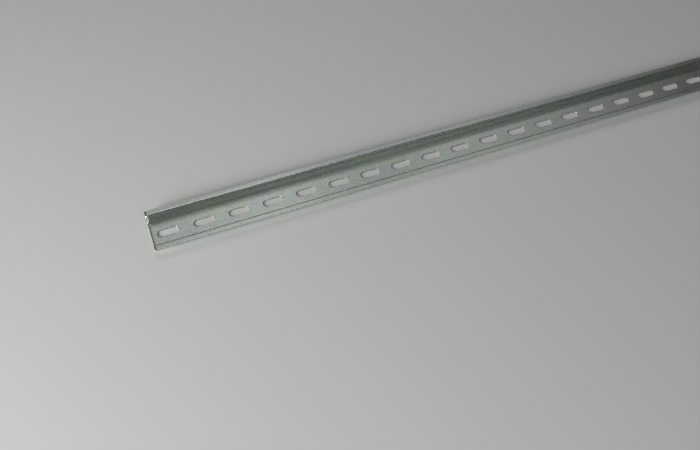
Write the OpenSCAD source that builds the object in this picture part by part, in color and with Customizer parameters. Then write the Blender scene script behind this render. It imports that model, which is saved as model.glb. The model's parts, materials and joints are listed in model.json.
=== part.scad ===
// Slotted top-hat mounting rail, roll-formed from one strip of steel.
// The rail runs along X, the underside of its web lies on z = 0, and its
// channel opens upwards. The origin is midway along the rail, on its centre line.

/* [Section] */
// Width over the two lips
rail_width = 35; // [33:0.5:45]
// Width over the outer faces of the two walls
channel_width = 27; // [22:0.5:28]
// Height from the underside of the web to the top of the lips
rail_height = 7.5; // [7:0.5:15]
// Thickness of the strip
strip_thickness = 1; // [0.8:0.1:1.5]
// Radius on the inner side of all four bends
bend_radius = 0.8; // [0.3:0.1:1]
// Radius that breaks the two long corners of each lip
corner_radius = 0.15; // [0.05:0.05:0.35]

/* [Length] */
// Length that the rail is cut to
rail_length = 500; // [100:25:2000]

/* [Slots] */
// Length of a slot over its round ends
slot_length = 15; // [10:0.5:18]
// Width of a slot, which is the diameter of its round ends
slot_width = 6.2; // [4:0.1:8]
// Distance between the middles of neighbouring slots
slot_pitch = 25; // [20:1:40]
// Distance from the rail's -X end to the middle of the first slot
first_slot = 11.5; // [10:0.5:20]

/* [Hidden] */
$fn = 72;

// How far the slot cutters run past each face of the web
punch_overrun = 1;

// Radius on the outer side of the bends
outer_radius = bend_radius + strip_thickness;
// The walls' inner faces, out from the centre line
wall_inner = channel_width / 2 - strip_thickness;
// Where the flat of the web ends and the foot bend starts
web_reach = wall_inner - bend_radius;
// Where the lip bend ends and the flat of the lip starts
lip_start = channel_width / 2 + bend_radius;
// Where the flat of the lip gives way to its broken corners
lip_flat_end = rail_width / 2 - corner_radius;

// As many slots as leave no less metal at the +X end than at the -X end
slot_count = floor((rail_length - 2 * first_slot) / slot_pitch) + 1;
row_start = first_slot - rail_length / 2;
slot_straight = slot_length - slot_width;

// A quarter turn of the strip about the origin, from the x axis to the y axis
module bend() {
    intersection() {
        difference() {
            circle(r = outer_radius);
            circle(r = bend_radius);
        }
        square(outer_radius);
    }
}

// The free edge of a lip, from its flat's end outwards, standing on the x axis
module lip_edge() {
    translate([0, corner_radius])
        square([corner_radius, strip_thickness - 2 * corner_radius]);
    intersection() {
        square([corner_radius, strip_thickness]);
        for (rise = [corner_radius, strip_thickness - corner_radius])
            translate([0, rise]) circle(r = corner_radius);
    }
}

// One side of the section from its foot bend out to the lip's free edge
module flank() {
    translate([web_reach, outer_radius])
        rotate(-90) bend();
    translate([wall_inner, outer_radius])
        square([strip_thickness, rail_height - 2 * outer_radius]);
    translate([lip_start, rail_height - outer_radius])
        rotate(90) bend();
    translate([lip_start, rail_height - strip_thickness])
        square([lip_flat_end - lip_start, strip_thickness]);
    translate([lip_flat_end, rail_height - strip_thickness])
        lip_edge();
}

// The whole section: a flat web with a flank on each side
module section() {
    translate([-web_reach, 0])
        square([2 * web_reach, strip_thickness]);
    for (side = [0, 1])
        mirror([side, 0]) flank();
}

// The rail before punching
module formed_strip() {
    rotate([90, 0, 90])
        linear_extrude(rail_length, center = true) section();
}

// Outline of one slot, long way along the rail
module slot() {
    square([slot_straight, slot_width], center = true);
    for (end = [-1, 1])
        translate([end * slot_straight / 2, 0]) circle(d = slot_width);
}

// Cutters for the whole row of slots
module slot_punches() {
    translate([row_start, 0, -punch_overrun])
        linear_extrude(strip_thickness + 2 * punch_overrun)
            for (i = [0 : slot_count - 1])
                translate([i * slot_pitch, 0]) slot();
}

module din_rail() {
    color([0.61, 0.63, 0.56])
        difference() {
            formed_strip();
            slot_punches();
        }
}

din_rail();
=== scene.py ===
"""A half-metre length of slotted top-hat mounting rail, zinc plated, lying open side up.

The rail is one formed strip. Its skin is made here from numpy surfaces, in place of the
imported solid: two flanks, which are one profile carried along the rail, a web made of
one cell for each punched slot, and the two sawn ends.
"""

import json
import math

import bpy
import numpy as np
from mathutils import Matrix, Vector


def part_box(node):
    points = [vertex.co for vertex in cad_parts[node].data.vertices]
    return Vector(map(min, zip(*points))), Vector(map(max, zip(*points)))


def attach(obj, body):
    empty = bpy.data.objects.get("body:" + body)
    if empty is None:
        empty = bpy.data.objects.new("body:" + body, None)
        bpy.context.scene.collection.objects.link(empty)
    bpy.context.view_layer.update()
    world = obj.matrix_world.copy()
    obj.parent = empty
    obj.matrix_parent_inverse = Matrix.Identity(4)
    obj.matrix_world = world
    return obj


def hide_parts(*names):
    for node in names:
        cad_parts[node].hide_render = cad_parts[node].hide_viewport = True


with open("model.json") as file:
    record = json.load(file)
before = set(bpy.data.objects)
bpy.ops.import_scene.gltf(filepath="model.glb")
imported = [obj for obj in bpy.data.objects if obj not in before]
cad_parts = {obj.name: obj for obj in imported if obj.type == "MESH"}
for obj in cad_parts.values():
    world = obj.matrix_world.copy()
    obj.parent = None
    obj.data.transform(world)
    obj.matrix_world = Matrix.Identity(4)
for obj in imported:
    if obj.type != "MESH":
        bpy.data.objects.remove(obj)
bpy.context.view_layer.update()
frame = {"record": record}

MM = 0.001

# ---------------------------------------------------------------- sizes of the strip

STRIP = 1.0 * MM            # thickness of the strip
CHANNEL = 27.0 * MM         # over the outer faces of the walls
BEND = 0.8 * MM             # inside radius of every bend
CORNER = 0.15 * MM          # broken corners along the lips' free edges
ROLLOVER = 0.22 * MM        # drawn-in edge round a slot, on the side the punch entered
BREAKOUT = 0.07 * MM        # small broken edge where the punch came out
SAWN_EDGE = 0.08 * MM       # broken edge round the sawn ends
GUARD = 0.12 * MM           # a narrow row of faces beside each curve keeps the flats flat

rail_low, rail_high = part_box("din_rail")
END_NEAR = rail_low.x
END_FAR = rail_high.x
HALF_WIDTH = rail_high.y
HEIGHT = rail_high.z

FOOT_BEND_PIECES = 8        # straight pieces in each curve of the profile
LIP_BEND_PIECES = 14
CORNER_PIECES = 4
FLAT_PIECES = 2             # in the walls and the lips' flats
ROLLOVER_PIECES = 4
BREAKOUT_PIECES = 2
FACE_SHARES = (0.0, 0.3, 0.6, 0.85, 1.0)    # rings from a cell's outline in to its slot's
WELD = 0.0005 * MM          # points this close become one
HAIR = 0.01 * MM            # margin when telling which points lie on a curve
BEND_WEAR = 0.6             # how rubbed the lip bends are; the free edges are fully rubbed
BREAKOUT_CUT = 0.5          # how torn the broken edge under a slot is

OUTER = BEND + STRIP                    # outside radius of the bends
WALL_IN = CHANNEL / 2 - STRIP           # inner face of a wall
WEB_REACH = WALL_IN - BEND              # where the web's flat meets the foot bend
LIP_START = CHANNEL / 2 + BEND          # where the lip's flat begins


def slot_row():
    """The slots' middles along the rail, their length and their radius, from the stated pairs."""
    pairs = [m for m in frame["record"]["mounts"] if m["kind"] == "bolt_pattern"]
    spans = sorted((m["dims"]["spacing_x_mm"] * MM for m in pairs), reverse=True)
    pitch = (spans[0] - spans[1]) / 2
    count = round(spans[0] / pitch) + 1
    first = pairs[0]["pos_m"][0] - spans[0] / 2
    dims = pairs[0]["dims"]
    return first + pitch * np.arange(count), dims["slot_length_mm"] * MM, dims["hole_r_mm"] * MM


SLOT_MIDDLES, SLOT_LENGTH, SLOT_RADIUS = slot_row()
SLOT_STRAIGHT = SLOT_LENGTH / 2 - SLOT_RADIUS      # half of the straight stretch


# ---------------------------------------------------------------- surfaces

def arc(centre, radius, start, stop, pieces):
    """Points on an arc from start to stop degrees, both ends included: centre + radius * (cos, sin)."""
    turn = np.radians(np.linspace(start, stop, pieces + 1))
    return np.array(centre) + radius * np.column_stack([np.cos(turn), np.sin(turn)])


def straight(start, stop, pieces):
    """Evenly spaced points strictly between two places, with a guard point beside each of them."""
    start, stop = np.array(start, float), np.array(stop, float)
    reach = np.linalg.norm(stop - start)
    inner = np.linspace(GUARD, reach - GUARD, pieces + 1)
    return start + (stop - start) * (inner / reach)[:, None]


def upper_flank():
    """The strip's upper face on the +Y side, from the web's flat out to the middle of the
    lip's free edge, as (y, z): foot bend, wall, lip bend, lip, broken corner."""
    top = HEIGHT
    return np.vstack([
        arc((WEB_REACH, OUTER), BEND, -90, 0, FOOT_BEND_PIECES),
        straight((WALL_IN, OUTER), (WALL_IN, top - OUTER), FLAT_PIECES),
        arc((LIP_START, top - OUTER), OUTER, 180, 90, LIP_BEND_PIECES),
        straight((LIP_START, top), (HALF_WIDTH - CORNER, top), FLAT_PIECES),
        arc((HALF_WIDTH - CORNER, top - CORNER), CORNER, 90, 0, CORNER_PIECES),
    ])


def lower_flank():
    """The strip's lower face on the +Y side, in the same order: the outsides of the foot
    bend and wall, the lip's underside and its lower broken corner."""
    under = HEIGHT - STRIP
    return np.vstack([
        arc((WEB_REACH, OUTER), OUTER, -90, 0, FOOT_BEND_PIECES),
        straight((CHANNEL / 2, OUTER), (CHANNEL / 2, HEIGHT - OUTER), FLAT_PIECES),
        arc((LIP_START, HEIGHT - OUTER), BEND, 180, 90, LIP_BEND_PIECES),
        straight((LIP_START, under), (HALF_WIDTH - CORNER, under), FLAT_PIECES),
        arc((HALF_WIDTH - CORNER, under + CORNER), CORNER, -90, 0, CORNER_PIECES),
    ])


def grid_faces(rows, columns, around=False):
    """Quads of a rows x columns grid of points numbered row by row; around joins the last
    column to the first."""
    i, j = np.meshgrid(np.arange(rows - 1), np.arange(columns - (not around)), indexing="ij")
    k = (j + 1) % columns
    corners = [i * columns + j, (i + 1) * columns + j, (i + 1) * columns + k, i * columns + k]
    return np.stack(corners, -1).reshape(-1, 4)


class Shell:
    """Gathers grids of points and their faces, then welds them into one closed mesh."""

    def __init__(self):
        self.points, self.faces, self.marks, self.count = [], [], [], 0

    def add(self, points, faces, flip=False, sawn=0.0, punched=0.0, worn=0.0):
        """Adds points (n, 3) and quads (m, 4). sawn, punched and worn say how much of each
        finish the points have, as numbers or arrays."""
        n = len(points)
        self.points.append(points)
        self.faces.append((faces[:, ::-1] if flip else faces) + self.count)
        self.marks.append(np.column_stack([np.broadcast_to(v, n) for v in (sawn, punched, worn)]))
        self.count += n

    def mesh(self, name):
        """Points at one place become one, keeping the strongest mark; faces keep their order."""
        points = np.vstack(self.points)
        marks = np.vstack(self.marks)
        keys = np.round(points / WELD).astype(np.int64)
        _, first, where = np.unique(keys, axis=0, return_index=True, return_inverse=True)
        where = where.reshape(-1)
        joined = np.zeros((len(first), 3))
        np.maximum.at(joined, where, marks)
        faces = where[np.vstack(self.faces)]
        mesh = bpy.data.meshes.new(name)
        mesh.vertices.add(len(first))
        mesh.vertices.foreach_set("co", points[first].astype(np.float32).ravel())
        mesh.loops.add(faces.size)
        mesh.loops.foreach_set("vertex_index", faces.astype(np.int32).ravel())
        mesh.polygons.add(len(faces))
        mesh.polygons.foreach_set("loop_start", np.arange(0, faces.size, 4, dtype=np.int32))
        for title, column in zip(("sawn", "punched", "worn"), joined.T):
            layer = mesh.attributes.new(title, "FLOAT", "POINT")
            layer.data.foreach_set("value", column.astype(np.float32))
        mesh.update(calc_edges=True)
        mesh.validate()
        mesh.polygons.foreach_set("use_smooth", np.ones(len(faces), bool))
        mesh.update()
        return mesh


STRAIGHT_PIECES = 2        # on half of a slot's straight side
LONG_ARC_PIECES = 5        # of a round end's quarter, facing the cell's long side
SHORT_ARC_PIECES = 6       # of a round end's quarter, facing the cell's short side


def slot_quarter():
    """Points of one quarter of a slot's outline from the middle of its long side to its
    tip, with the outward direction at each: a straight, then a quarter circle."""
    along = np.linspace(0, SLOT_STRAIGHT, STRAIGHT_PIECES + 1)
    turn = np.radians(np.linspace(90, 0, LONG_ARC_PIECES + SHORT_ARC_PIECES + 1))[1:]
    points = np.vstack([
        np.column_stack([along, np.full_like(along, SLOT_RADIUS)]),
        np.column_stack([SLOT_STRAIGHT + SLOT_RADIUS * np.cos(turn), SLOT_RADIUS * np.sin(turn)]),
    ])
    out = np.vstack([
        np.column_stack([np.zeros_like(along), np.ones_like(along)]),
        np.column_stack([np.cos(turn), np.sin(turn)]),
    ])
    return points, out


def cell_quarter(reach):
    """Points of one quarter of the cell round a slot, matched to slot_quarter: along the
    long side out to reach, then down the short side."""
    beside = np.linspace(0, SLOT_STRAIGHT, STRAIGHT_PIECES + 1)
    beyond = np.linspace(SLOT_STRAIGHT, reach, LONG_ARC_PIECES + 1)[1:]
    down = np.linspace(WEB_REACH, 0, SHORT_ARC_PIECES + 1)[1:]
    x = np.concatenate([beside, beyond, np.full_like(down, reach)])
    y = np.concatenate([np.full(len(beside) + len(beyond), WEB_REACH), down])
    return np.column_stack([x, y])


def full_turn(right, left):
    """A closed outline from its quarters at the right and left, both given in the +X +Y
    quadrant: clockwise from the middle of the +Y side, each point once."""
    turned = [
        right[:-1],
        (right * (1, -1))[::-1][:-1],
        (left * (-1, -1))[:-1],
        (left * (-1, 1))[::-1][:-1],
    ]
    return np.vstack(turned)


def slot_cell(middle, near_reach, far_reach):
    """The web round one slot, from the cell's edge over the upper face, round the slot's
    edge, down its wall and back out under the web. Position = a straight blend from the
    cell's outline to the slot's on both faces, and the slot's outline moved outwards and
    down by a quarter circle at each edge. Returns points (ring, around), and the punched
    and worn marks of each ring."""
    quarter, out = slot_quarter()
    slot, away = full_turn(quarter, quarter), full_turn(out, out)
    cell = full_turn(cell_quarter(far_reach), cell_quarter(near_reach))
    rings, punched, worn = [], [], []

    def ring(flat, height, cut, wear):
        rings.append(np.column_stack([flat[:, 0] + middle, flat[:, 1], np.full(len(flat), height)]))
        punched.append(cut)
        worn.append(wear)

    def face(edge, height, shares):
        for share in shares:
            ring(cell + (edge - cell) * share, height, 0.0, 0.0)

    top_edge = slot + away * ROLLOVER
    face(slot + away * (ROLLOVER + GUARD), STRIP, FACE_SHARES)
    for turn in np.radians(np.linspace(0, 90, ROLLOVER_PIECES + 1)):
        flat = top_edge - away * ROLLOVER * math.sin(turn)
        ring(flat, STRIP - ROLLOVER * (1 - math.cos(turn)), 0.0, 1.0)
    ring(slot, STRIP - ROLLOVER - GUARD, 1.0, 0.0)
    ring(slot, BREAKOUT + GUARD / 2, 1.0, 0.0)
    for turn in np.radians(np.linspace(0, 90, BREAKOUT_PIECES + 1)):
        flat = slot + away * BREAKOUT * (1 - math.cos(turn))
        ring(flat, BREAKOUT * (1 - math.sin(turn)), BREAKOUT_CUT, 1.0)
    face(slot + away * (BREAKOUT + GUARD), 0.0, FACE_SHARES[::-1])
    around = len(slot)
    return np.array(rings), np.repeat(punched, around), np.repeat(worn, around)


def web_cells():
    """Where each slot's cell begins and ends: halfway to its neighbours, or at the last row
    of points before a sawn end."""
    halfway = (SLOT_MIDDLES[1:] + SLOT_MIDDLES[:-1]) / 2
    near = np.concatenate([[END_NEAR + SAWN_EDGE], halfway])
    far = np.concatenate([halfway, [END_FAR - SAWN_EDGE]])
    return near, far


def stations():
    """Places along the rail where the flanks have a row of points: the same as the web's."""
    near, far = web_cells()
    places = []
    for middle, low, high in zip(SLOT_MIDDLES, near, far):
        right = cell_quarter(high - middle)[:STRAIGHT_PIECES + LONG_ARC_PIECES + 1, 0]
        left = cell_quarter(middle - low)[:STRAIGHT_PIECES + LONG_ARC_PIECES + 1, 0]
        places.append(np.concatenate([middle - left[::-1], middle + right]))
    return np.unique(np.round(np.concatenate(places), 9))


def section_normals(path):
    """Unit normals of a (y, z) path, to its left: the mean direction of the two stretches
    that meet at a point, turned a quarter."""
    step = np.diff(path, axis=0)
    step /= np.linalg.norm(step, axis=1)[:, None]
    mean = np.vstack([step[:1], step[1:] + step[:-1], step[-1:]])
    mean /= np.linalg.norm(mean, axis=1)[:, None]
    return np.column_stack([-mean[:, 1], mean[:, 0]])


def add_flank(shell, side):
    """One flank: its upper and lower paths are joined at the lip's free edge into one
    profile, which is carried along the rail. side is 1 for +Y and -1 for -Y."""
    upper, lower = upper_flank(), lower_flank()
    profile = np.vstack([upper, (upper[-1:] + lower[-1:]) / 2, lower[::-1]])
    x = stations()
    xs, ys = np.meshgrid(x, profile[:, 0] * side, indexing="ij")
    zs = np.broadcast_to(profile[:, 1], xs.shape)
    points = np.stack([xs, ys, zs], -1).reshape(-1, 3)
    outward = np.hypot(profile[:, 0] - LIP_START, profile[:, 1] - (HEIGHT - OUTER))
    in_corner = (profile[:, 0] < LIP_START) & (profile[:, 1] > HEIGHT - OUTER)
    on_bend = in_corner & (outward > OUTER - HAIR)
    on_edge = profile[:, 0] > HALF_WIDTH - CORNER - HAIR
    worn = np.maximum(on_bend * BEND_WEAR, on_edge * 1.0)
    shell.add(points, grid_faces(len(x), len(profile)), flip=side < 0, worn=np.tile(worn, len(x)))


def add_end(shell, place, sign):
    """A sawn end: the strip's upper and lower paths step in by the broken edge on the last
    stretch, and the face between them is closed through the thickness."""
    down = np.linspace(WEB_REACH, 0, SHORT_ARC_PIECES + 1)
    half_web = np.column_stack([down[::-1], np.zeros_like(down)])
    upper = np.vstack([half_web[:-1] + (0, STRIP), upper_flank()])
    lower = np.vstack([half_web[:-1], lower_flank()])
    upper = np.vstack([(upper * (-1, 1))[::-1][:-1], upper])
    lower = np.vstack([(lower * (-1, 1))[::-1][:-1], lower])
    upper_in = upper - section_normals(upper) * SAWN_EDGE
    lower_in = lower + section_normals(lower) * SAWN_EDGE
    last = place - sign * SAWN_EDGE
    middle = (upper_in + lower_in) / 2
    rows = [(upper, last), (upper_in, place), (middle, place), (lower_in, place), (lower, last)]
    sawn = np.repeat([0.0, 1.0, 1.0, 1.0, 0.0], len(upper))
    points = np.vstack([np.column_stack([np.full(len(path), x), path]) for path, x in rows])
    shell.add(points, grid_faces(len(rows), len(upper)), flip=sign < 0, sawn=sawn)
    # the broken edge carries on round the two lips' free edges
    for tip, turned in ((0, sign > 0), (-1, sign < 0)):
        edge = np.array([upper[tip], (upper[tip] + lower[tip]) / 2, lower[tip]])
        inner = np.array([upper_in[tip], middle[tip], lower_in[tip]])
        points = np.column_stack([np.repeat([last, place], 3), np.vstack([edge, inner])])
        shell.add(points, grid_faces(2, 3), flip=turned, sawn=np.repeat([0.0, 1.0], 3))


def formed_strip():
    """The whole skin of the rail as one closed mesh."""
    shell = Shell()
    near, far = web_cells()
    for middle, low, high in zip(SLOT_MIDDLES, near, far):
        rings, punched, worn = slot_cell(middle, middle - low, high - middle)
        faces = grid_faces(rings.shape[0], rings.shape[1], around=True)
        shell.add(rings.reshape(-1, 3), faces, punched=punched, worn=worn)
    for side in (1, -1):
        add_flank(shell, side)
    add_end(shell, END_NEAR, -1)
    add_end(shell, END_FAR, 1)
    piece = bpy.data.objects.new("rail_strip", shell.mesh("rail_strip"))
    bpy.context.scene.collection.objects.link(piece)
    return piece


strip = formed_strip()


# ---------------------------------------------------------------- finishes

class Value:
    """A socket's output that plain expressions work on: a + b and so on add Math nodes."""

    def __init__(self, finish, socket):
        self.finish = finish
        self.socket = socket

    def maths(self, operation, *others):
        return self.finish.maths(operation, self, *others)

    def __add__(self, other):
        return self.maths("ADD", other)

    def __sub__(self, other):
        return self.maths("SUBTRACT", other)

    def __rsub__(self, other):
        return self.finish.maths("SUBTRACT", other, self)

    def __mul__(self, other):
        return self.maths("MULTIPLY", other)

    __radd__ = __add__
    __rmul__ = __mul__


class Finish:
    """A material or the world, and the nodes that make it up."""

    def __init__(self, owner):
        self.tree = owner.node_tree
        self.tree.nodes.clear()

    def node(self, kind, settings, inputs):
        """Adds a node: its settings first, then its sockets, named or numbered among those in
        use, each given a number, a colour or another node's output. Returns its outputs."""
        made = self.tree.nodes.new(kind)
        for name, value in settings.items():
            setattr(made, name, value)
        used = [socket for socket in made.inputs if socket.enabled]
        named = {socket.name: socket for socket in used}
        for key, value in inputs.items():
            socket = used[key] if isinstance(key, int) else named[key]
            if isinstance(value, Value):
                self.tree.links.new(value.socket, socket)
            else:
                socket.default_value = value
        return {socket.name: Value(self, socket) for socket in made.outputs if socket.enabled}

    def maths(self, operation, *values):
        return self.node("ShaderNodeMath", {"operation": operation}, dict(enumerate(values)))["Value"]

    def clamp(self, value):
        return self.node("ShaderNodeClamp", {}, {"Value": value})["Result"]

    def blend(self, share, first, second, how="MIX"):
        """Two colours blended: the first where share is 0, the second where it is 1."""
        settings = {"data_type": "RGBA", "blend_type": how}
        return self.node("ShaderNodeMix", settings, {"Factor": share, "A": first, "B": second})["Result"]

    def noise(self, where, size, detail, roughness):
        """Cloudy noise around 0.5 with features of about the given size in metres."""
        inputs = {"Vector": where, "Scale": 1 / size, "Detail": detail, "Roughness": roughness}
        return self.node("ShaderNodeTexNoise", {}, inputs)["Fac"]

    def cells(self, where, size):
        """Small crystals of the given size, each with its own number from 0 to 1."""
        cell = self.node("ShaderNodeTexVoronoi", {}, {"Vector": where, "Scale": 1 / size})["Color"]
        return self.node("ShaderNodeSeparateColor", {}, {"Color": cell})["Red"]

    def stretched(self, where, scale):
        return self.node("ShaderNodeMapping", {}, {"Vector": where, "Scale": scale})["Vector"]

    def mark(self, name):
        """How much of a finish a point of the mesh has."""
        return self.node("ShaderNodeAttribute", {"attribute_name": name}, {})["Fac"]

    def ramp(self, value, low, high):
        """0 where value is low, 1 where it is high, and a smooth step between."""
        settings = {"interpolation_type": "SMOOTHSTEP"}
        inputs = {"Value": value, "From Min": low, "From Max": high}
        return self.node("ShaderNodeMapRange", settings, inputs)["Result"]

    def surface(self, inputs):
        shader = self.node("ShaderNodeBsdfPrincipled", {}, inputs)["BSDF"]
        self.node("ShaderNodeOutputMaterial", {}, {"Surface": shader})


def material(name):
    made = bpy.data.materials.new(name)
    made.use_nodes = True
    return made, Finish(made)


def grey(colour):
    return (colour[0], colour[1], colour[2], 1.0)


GREEN_ZINC = grey((0.568, 0.634, 0.532))
VIOLET_ZINC = grey((0.565, 0.606, 0.618))
RUBBED_ZINC = grey((0.660, 0.690, 0.640))
BARE_STEEL = grey((0.48, 0.48, 0.47))
TORN_STEEL = grey((0.40, 0.41, 0.39))


METAL_SHARE = 0.94
ROUGHNESS = 0.30
MIDDLE = 0.5                # the value that noise and cells vary around
LINE_STRETCH = (0.03, 1.0, 1.0)
CRYSTAL_STRETCH = (0.7, 1.0, 1.0)
SAW_STRETCH = (1.0, 1.0, 0.12)
TEAR_STRETCH = (1.0, 1.0, 0.15)
DRIFT_SIZE = 14 * MM
PATCH_SIZE = 3.6 * MM
MOTTLE_SIZE = 1.1 * MM
GRAIN_SIZE = 0.20 * MM
CRYSTAL_SIZE = 0.75 * MM
BROAD_LINE_SIZE = 1.5 * MM
FINE_LINE_SIZE = 0.26 * MM
SAW_MARK_SIZE = 0.16 * MM
TEAR_SIZE = 0.22 * MM
HUE_RANGE = (0.36, 0.62)                        # from violet grey to yellow green
RUB_RANGE = (0.30, 0.60)
WALL_RANGE = (STRIP + 0.3 * MM, STRIP + 1.2 * MM)   # lines grow stronger up the wall
TORN_RANGE = (0.62 * MM, 0.45 * MM)             # a slot's wall is sheared above, torn below


def rolled_zinc():
    """Rolled strip, zinc plated and passivated: semi-matt grey that drifts between yellow
    green and violet grey, with small crystals, a fine mottle, lines along the rail from the
    rollers, rubbed edges, torn slot walls and bare sawn ends."""
    made, finish = material("rolled_zinc")
    place = finish.node("ShaderNodeTexCoord", {}, {})["Object"]
    height = finish.node("ShaderNodeSeparateXYZ", {}, {"Vector": place})["Z"]
    along = finish.stretched(place, LINE_STRETCH)
    sawn, punched, worn = (finish.mark(name) for name in ("sawn", "punched", "worn"))

    drift = finish.noise(place, DRIFT_SIZE, 3.0, 0.6)
    patches = finish.noise(place, PATCH_SIZE, 4.0, 0.6)
    mottle = finish.noise(place, MOTTLE_SIZE, 3.0, 0.6)
    grain = finish.noise(place, GRAIN_SIZE, 2.0, 0.5)
    crystals = finish.cells(finish.stretched(place, CRYSTAL_STRETCH), CRYSTAL_SIZE)
    broad_lines = finish.noise(along, BROAD_LINE_SIZE, 3.0, 0.6)
    fine_lines = finish.noise(along, FINE_LINE_SIZE, 2.0, 0.6)
    saw_marks = finish.noise(finish.stretched(place, SAW_STRETCH), SAW_MARK_SIZE, 2.0, 0.6)
    tears = finish.noise(finish.stretched(place, TEAR_STRETCH), TEAR_SIZE, 3.0, 0.6)

    # what has happened to the surface here, each from 0 to 1
    hue = finish.ramp(drift * 0.4 + patches * 0.6, *HUE_RANGE)
    rubbed = worn * finish.ramp(mottle, *RUB_RANGE)
    upright = finish.ramp(height, *WALL_RANGE)
    torn = punched * finish.ramp(height, *TORN_RANGE)

    colour = finish.blend(hue, VIOLET_ZINC, GREEN_ZINC)
    colour = finish.blend(rubbed * 0.5, colour, RUBBED_ZINC)
    colour = finish.blend(torn * 0.8, colour, TORN_STEEL)
    colour = finish.blend(sawn, colour, BARE_STEEL)

    # lighter and darker marks multiply the colour
    broad_shade = (broad_lines - MIDDLE) * (0.14 + upright * 0.30)
    fine_shade = (fine_lines - MIDDLE) * (0.12 + upright * 0.16)
    shade = 1.0 + (mottle - MIDDLE) * 0.26 + (patches - MIDDLE) * 0.20
    shade = shade + (crystals - MIDDLE) * 0.09 + (broad_shade + fine_shade)
    shade = shade + (saw_marks - MIDDLE) * sawn * 0.5 + (tears - MIDDLE) * punched * 0.4
    shaded = finish.node("ShaderNodeCombineColor", {}, {0: shade, 1: shade, 2: shade})["Color"]
    colour = finish.blend(1.0, colour, shaded, "MULTIPLY")

    roughness = ROUGHNESS + (mottle - MIDDLE) * 0.16 + (crystals - MIDDLE) * 0.05
    roughness = roughness + (broad_lines - MIDDLE) * 0.10
    roughness = roughness - rubbed * 0.05 + torn * 0.22 + sawn * 0.06

    # relief in metres
    relief = grain * 2.6e-6 + mottle * 4.0e-6 + crystals * 0.5e-6
    relief = relief + fine_lines * 2.0e-6 + broad_lines * 4.0e-6
    relief = relief + saw_marks * sawn * 12e-6 + tears * punched * 14e-6
    normal = finish.node("ShaderNodeBump", {}, {"Height": relief, "Distance": 1.0})["Normal"]
    finish.surface({
        "Base Color": colour,
        "Metallic": METAL_SHARE,
        "Roughness": finish.clamp(roughness),
        "Normal": normal,
    })
    return made


strip.data.materials.append(rolled_zinc())
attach(strip, "root")
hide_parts("din_rail")


# ---------------------------------------------------------------- floor, light and camera

def pale_floor():
    made, finish = material("pale_floor")
    finish.surface({"Base Color": grey((0.80, 0.80, 0.79)), "Roughness": 0.9, "Specular IOR Level": 0.2})
    return made


FLOOR_REACH = 20.0
corners = np.array([(-1, -1, 0), (1, -1, 0), (1, 1, 0), (-1, 1, 0)]) * FLOOR_REACH
floor_mesh = bpy.data.meshes.new("floor")
floor_mesh.from_pydata(corners.tolist(), [], [(0, 1, 2, 3)])
floor = bpy.data.objects.new("floor", floor_mesh)
bpy.context.scene.collection.objects.link(floor)
floor.data.materials.append(pale_floor())


BOX_SIZE = (0.55, 0.40)
SIDE_BOX_SIZE = (0.75, 0.50)
SOFTBOXES = (               # name, place, size, radiance; all of them face the origin
    ("overhead_softbox", (-0.10, 0.45, 1.15), BOX_SIZE, 1.8),
    ("back_softbox_left", (-0.15, 0.87, 0.88), BOX_SIZE, 0.53),
    ("back_softbox_middle", (0.30, 0.83, 0.88), BOX_SIZE, 0.42),
    ("back_softbox_right", (0.68, 0.57, 0.88), BOX_SIZE, 0.45),
    ("front_softbox_right", (0.57, -0.68, 0.88), BOX_SIZE, 0.42),
    ("front_softbox_left", (0.15, -0.87, 0.88), BOX_SIZE, 0.45),
    ("side_softbox", (-1.06, -0.50, 0.43), SIDE_BOX_SIZE, 10.5),
)
SKY_STRENGTH = 0.04


def softbox(name, place, size, radiance):
    """A soft rectangular light of the given radiance that the camera doesn't see."""
    light = bpy.data.lights.new(name, "AREA")
    light.shape = "RECTANGLE"
    light.size, light.size_y = size
    light.energy = math.pi * size[0] * size[1] * radiance
    lamp = bpy.data.objects.new(name, light)
    lamp.location = place
    lamp.rotation_euler = (-Vector(place)).to_track_quat("-Z", "Y").to_euler()
    lamp.visible_camera = False
    bpy.context.scene.collection.objects.link(lamp)


for box in SOFTBOXES:
    softbox(*box)

world = bpy.data.worlds.new("studio")
bpy.context.scene.world = world
world.use_nodes = True
studio = Finish(world)
sky_inputs = {"Color": grey((1, 1, 1)), "Strength": SKY_STRENGTH}
sky = studio.node("ShaderNodeBackground", {}, sky_inputs)["Background"]
studio.node("ShaderNodeOutputWorld", {}, {"Surface": sky})

CAMERA_PLACE = Vector((-0.24026, -0.30033, 0.36860))
CAMERA_AIM = Vector((-0.12050, -0.03852, 0.0))
CAMERA_ROLL = math.radians(-2.746)
SENSOR_WIDTH = 36.0         # millimetres, as is the lens
LENS = 34.648
NEAREST, FARTHEST = 0.01, 60.0
camera_data = bpy.data.cameras.new("camera")
camera_data.sensor_width = SENSOR_WIDTH
camera_data.lens = LENS
camera_data.clip_start = NEAREST
camera_data.clip_end = FARTHEST
camera = bpy.data.objects.new("camera", camera_data)
view = (CAMERA_AIM - CAMERA_PLACE).normalized()
level = view.cross(Vector((0, 0, 1))).normalized()
upright = level.cross(view)
up = upright * math.cos(CAMERA_ROLL) + level * math.sin(CAMERA_ROLL)
right = view.cross(up)
turned = Matrix((right, up, -view)).transposed().to_4x4()
camera.matrix_world = Matrix.Translation(CAMERA_PLACE) @ turned
bpy.context.scene.collection.objects.link(camera)
bpy.context.scene.camera = camera
bpy.context.scene.view_settings.view_transform = "Standard"
